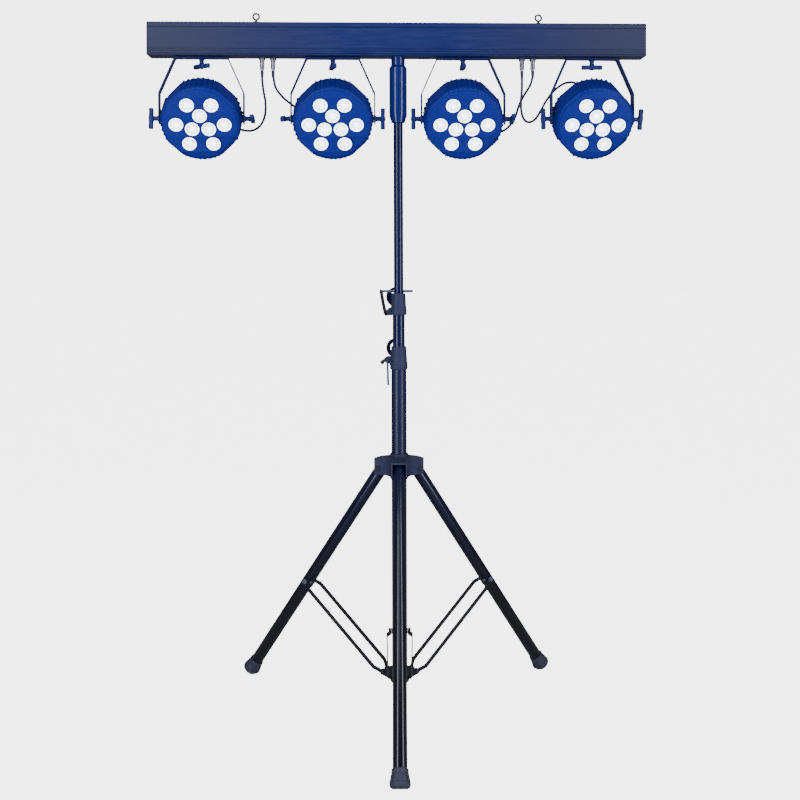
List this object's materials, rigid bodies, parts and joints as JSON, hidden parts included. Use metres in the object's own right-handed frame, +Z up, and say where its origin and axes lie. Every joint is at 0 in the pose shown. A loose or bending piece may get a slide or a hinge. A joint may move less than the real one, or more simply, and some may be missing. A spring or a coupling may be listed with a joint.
{
  "type": "par light bar on tripod stand",
  "caption": "Long light bar carrying small round LED par cans on tilting yokes, on a telescopic mast with a folding tripod base.",
  "frame": {"origin": "on the floor, at the middle of the footprint's bounding box; the mast stands 102.5 mm behind it", "axes": "+Z up the mast, +X along the bar to the right as seen from the front, the lamps face -Y"},
  "size_m": [1.143, 0.6626, 1.5901],
  "materials": {
    "tube": "black powder coat, semi-gloss",
    "plastic": "dark grey glass-filled nylon",
    "rubber": "black moulded rubber",
    "steel": "zinc-plated steel",
    "bar": "black-anodised extrusion",
    "can": "moulded housing, blue under its own light",
    "lens": "clear moulded lenses, lit",
    "yoke": "black powder-coated strap",
    "knob": "black moulded knob",
    "cable": "black flexible cable"
  },
  "bodies": {
    "base": {"base_tube": "tube", "lower_bracket": "tube", "lower_collar": "plastic"},
    "lower_collar_knob": {"lower_collar_knob": "knob"},
    "mid_mast": {"mid_tube": "tube", "upper_collar": "plastic"},
    "upper_collar_knob": {"upper_collar_knob": "knob"},
    "top_mast": {"top_tube": "tube"},
    "upper_pin": {"upper_pin": "steel"},
    "hub": {"leg_hub": "plastic"},
    "hub_knob": {"hub_knob": "knob"},
    "bar": {"bar_body": "bar", "bar_end_cap_left": "bar", "bar_end_cap_right": "bar", "mast_socket": "tube", "eye_bolt_left": "steel", "eye_bolt_right": "steel", "connector_pair_left": "steel", "connector_pair_right": "steel", "lamp_1_cable": "cable", "lamp_2_cable": "cable", "lamp_3_cable": "cable", "lamp_4_cable": "cable"},
    "leg_front": {"leg_front": "tube", "foot_front": "rubber"},
    "brace_front": {"brace_front": "tube"},
    "leg_right": {"leg_right": "tube", "foot_right": "rubber"},
    "brace_right": {"brace_right": "tube"},
    "leg_left": {"leg_left": "tube", "foot_left": "rubber"},
    "brace_left": {"brace_left": "tube"},
    "yoke_1": {"lamp_1_yoke": "yoke"},
    "can_1": {"lamp_1_front_shell": "can", "lamp_1_rear_shell": "can", "lamp_1_lens_plate": "lens"},
    "pan_knob_1": {"lamp_1_pan_knob": "knob"},
    "tilt_knob_left_1": {"lamp_1_tilt_knob_left": "knob"},
    "tilt_knob_right_1": {"lamp_1_tilt_knob_right": "knob"},
    "yoke_2": {"lamp_2_yoke": "yoke"},
    "can_2": {"lamp_2_front_shell": "can", "lamp_2_rear_shell": "can", "lamp_2_lens_plate": "lens"},
    "pan_knob_2": {"lamp_2_pan_knob": "knob"},
    "tilt_knob_left_2": {"lamp_2_tilt_knob_left": "knob"},
    "tilt_knob_right_2": {"lamp_2_tilt_knob_right": "knob"},
    "yoke_3": {"lamp_3_yoke": "yoke"},
    "can_3": {"lamp_3_front_shell": "can", "lamp_3_rear_shell": "can", "lamp_3_lens_plate": "lens"},
    "pan_knob_3": {"lamp_3_pan_knob": "knob"},
    "tilt_knob_left_3": {"lamp_3_tilt_knob_left": "knob"},
    "tilt_knob_right_3": {"lamp_3_tilt_knob_right": "knob"},
    "yoke_4": {"lamp_4_yoke": "yoke"},
    "can_4": {"lamp_4_front_shell": "can", "lamp_4_rear_shell": "can", "lamp_4_lens_plate": "lens"},
    "pan_knob_4": {"lamp_4_pan_knob": "knob"},
    "tilt_knob_left_4": {"lamp_4_tilt_knob_left": "knob"},
    "tilt_knob_right_4": {"lamp_4_tilt_knob_right": "knob"}
  },
  "joints": [
    {"name": "hub_slide", "type": "slide", "parent": "base", "child": "hub", "axis": [0, 0, 1], "range_m": [0, 0.15729]},
    {"name": "leg_front_fold", "type": "hinge", "parent": "hub", "child": "leg_front", "pos_m": [-0.00157, 0.05754, 0.54], "axis": [0.9994, -0.0349, 0], "range_deg": [0, 32]},
    {"name": "brace_front_fold", "type": "hinge", "parent": "base", "child": "brace_front", "pos_m": [-0.00133, 0.06454, 0.069], "axis": [-0.9994, 0.0349, 0], "range_deg": [0, 43.67]},
    {"name": "leg_right_fold", "type": "hinge", "parent": "hub", "child": "leg_right", "pos_m": [0.03897, 0.12502, 0.54], "axis": [-0.5, 0.866, 0], "range_deg": [0, 32]},
    {"name": "brace_right_fold", "type": "hinge", "parent": "base", "child": "brace_right", "pos_m": [0.03291, 0.12152, 0.069], "axis": [0.5, -0.866, 0], "range_deg": [0, 43.67]},
    {"name": "leg_left_fold", "type": "hinge", "parent": "hub", "child": "leg_left", "pos_m": [-0.03897, 0.12502, 0.54], "axis": [-0.5, -0.866, 0], "range_deg": [0, 32]},
    {"name": "brace_left_fold", "type": "hinge", "parent": "base", "child": "brace_left", "pos_m": [-0.03291, 0.12152, 0.069], "axis": [0.5, 0.866, 0], "range_deg": [0, 43.67]},
    {"name": "mid_mast_slide", "type": "slide", "parent": "base", "child": "mid_mast", "axis": [0, 0, 1], "range_m": [-0.07, 0.35]},
    {"name": "top_mast_slide", "type": "slide", "parent": "mid_mast", "child": "top_mast", "axis": [0, 0, 1], "range_m": [0, 0.25]},
    {"name": "upper_pin_slide", "type": "slide", "parent": "top_mast", "child": "upper_pin", "axis": [-1, 0, 0], "range_m": [0, 0.048]},
    {"name": "bar_swivel", "type": "hinge", "parent": "top_mast", "child": "bar", "pos_m": [0, 0.10252, 1.45], "axis": [0, 0, 1], "continuous": true},
    {"name": "lower_collar_knob_turn", "type": "hinge", "parent": "base", "child": "lower_collar_knob", "pos_m": [-0.00647, 0.12666, 0.7965], "axis": [-0.2588, 0.9659, 0], "continuous": true},
    {"name": "upper_collar_knob_turn", "type": "hinge", "parent": "mid_mast", "child": "upper_collar_knob", "pos_m": [-0.00647, 0.12666, 0.92], "axis": [-0.2588, 0.9659, 0], "continuous": true},
    {"name": "hub_knob_turn", "type": "hinge", "parent": "hub", "child": "hub_knob", "pos_m": [0, 0.13552, 0.5495], "axis": [0, 1, 0], "continuous": true},
    {"name": "lamp_1_pan", "type": "hinge", "parent": "bar", "child": "yoke_1", "pos_m": [-0.45, 0.10252, 1.485], "axis": [0, 0, 1], "range_deg": [-90, 90]},
    {"name": "lamp_1_tilt", "type": "hinge", "parent": "yoke_1", "child": "can_1", "pos_m": [-0.45, 0.10252, 1.347], "axis": [0.9998, 0.0175, 0], "range_deg": [-60, 60], "deforming": ["lamp_1_cable"]},
    {"name": "lamp_1_pan_knob_turn", "type": "hinge", "parent": "bar", "child": "pan_knob_1", "pos_m": [-0.45, 0.10252, 1.48], "axis": [0, 0, -1], "continuous": true},
    {"name": "lamp_1_tilt_knob_left_turn", "type": "hinge", "parent": "can_1", "child": "tilt_knob_left_1", "pos_m": [-0.54998, 0.10077, 1.347], "axis": [-0.9998, -0.0175, 0], "continuous": true},
    {"name": "lamp_1_tilt_knob_right_turn", "type": "hinge", "parent": "can_1", "child": "tilt_knob_right_1", "pos_m": [-0.35002, 0.10426, 1.347], "axis": [0.9998, 0.0175, 0], "continuous": true},
    {"name": "lamp_2_pan", "type": "hinge", "parent": "bar", "child": "yoke_2", "pos_m": [-0.15, 0.10252, 1.485], "axis": [0, 0, 1], "range_deg": [-90, 90]},
    {"name": "lamp_2_tilt", "type": "hinge", "parent": "yoke_2", "child": "can_2", "pos_m": [-0.15, 0.10252, 1.347], "axis": [1, 0, 0], "range_deg": [-60, 60], "deforming": ["lamp_2_cable"]},
    {"name": "lamp_2_pan_knob_turn", "type": "hinge", "parent": "bar", "child": "pan_knob_2", "pos_m": [-0.15, 0.10252, 1.48], "axis": [0, 0, -1], "continuous": true},
    {"name": "lamp_2_tilt_knob_left_turn", "type": "hinge", "parent": "can_2", "child": "tilt_knob_left_2", "pos_m": [-0.25, 0.10252, 1.347], "axis": [-1, 0, 0], "continuous": true},
    {"name": "lamp_2_tilt_knob_right_turn", "type": "hinge", "parent": "can_2", "child": "tilt_knob_right_2", "pos_m": [-0.05, 0.10252, 1.347], "axis": [1, 0, 0], "continuous": true},
    {"name": "lamp_3_pan", "type": "hinge", "parent": "bar", "child": "yoke_3", "pos_m": [0.15, 0.10252, 1.485], "axis": [0, 0, 1], "range_deg": [-90, 90]},
    {"name": "lamp_3_tilt", "type": "hinge", "parent": "yoke_3", "child": "can_3", "pos_m": [0.15, 0.10252, 1.347], "axis": [1, 0, 0], "range_deg": [-60, 60], "deforming": ["lamp_3_cable"]},
    {"name": "lamp_3_pan_knob_turn", "type": "hinge", "parent": "bar", "child": "pan_knob_3", "pos_m": [0.15, 0.10252, 1.48], "axis": [0, 0, -1], "continuous": true},
    {"name": "lamp_3_tilt_knob_left_turn", "type": "hinge", "parent": "can_3", "child": "tilt_knob_left_3", "pos_m": [0.05, 0.10252, 1.347], "axis": [-1, 0, 0], "continuous": true},
    {"name": "lamp_3_tilt_knob_right_turn", "type": "hinge", "parent": "can_3", "child": "tilt_knob_right_3", "pos_m": [0.25, 0.10252, 1.347], "axis": [1, 0, 0], "continuous": true},
    {"name": "lamp_4_pan", "type": "hinge", "parent": "bar", "child": "yoke_4", "pos_m": [0.45, 0.10252, 1.485], "axis": [0, 0, 1], "range_deg": [-90, 90]},
    {"name": "lamp_4_tilt", "type": "hinge", "parent": "yoke_4", "child": "can_4", "pos_m": [0.45, 0.10252, 1.347], "axis": [0.9986, 0.0523, 0], "range_deg": [-60, 60], "deforming": ["lamp_4_cable"]},
    {"name": "lamp_4_pan_knob_turn", "type": "hinge", "parent": "bar", "child": "pan_knob_4", "pos_m": [0.45, 0.10252, 1.48], "axis": [0, 0, -1], "continuous": true},
    {"name": "lamp_4_tilt_knob_left_turn", "type": "hinge", "parent": "can_4", "child": "tilt_knob_left_4", "pos_m": [0.35014, 0.09728, 1.347], "axis": [-0.9986, -0.0523, 0], "continuous": true},
    {"name": "lamp_4_tilt_knob_right_turn", "type": "hinge", "parent": "can_4", "child": "tilt_knob_right_4", "pos_m": [0.54986, 0.10775, 1.347], "axis": [0.9986, 0.0523, 0], "continuous": true}
  ],
  "couplings": [
    {"joint": "leg_front_fold", "follows": "hub_slide", "rad_per_m": 3.5508},
    {"joint": "brace_front_fold", "follows": "hub_slide", "rad_per_m": 4.8462},
    {"joint": "leg_right_fold", "follows": "hub_slide", "rad_per_m": 3.5508},
    {"joint": "brace_right_fold", "follows": "hub_slide", "rad_per_m": 4.8462},
    {"joint": "leg_left_fold", "follows": "hub_slide", "rad_per_m": 3.5508},
    {"joint": "brace_left_fold", "follows": "hub_slide", "rad_per_m": 4.8462}
  ]
}
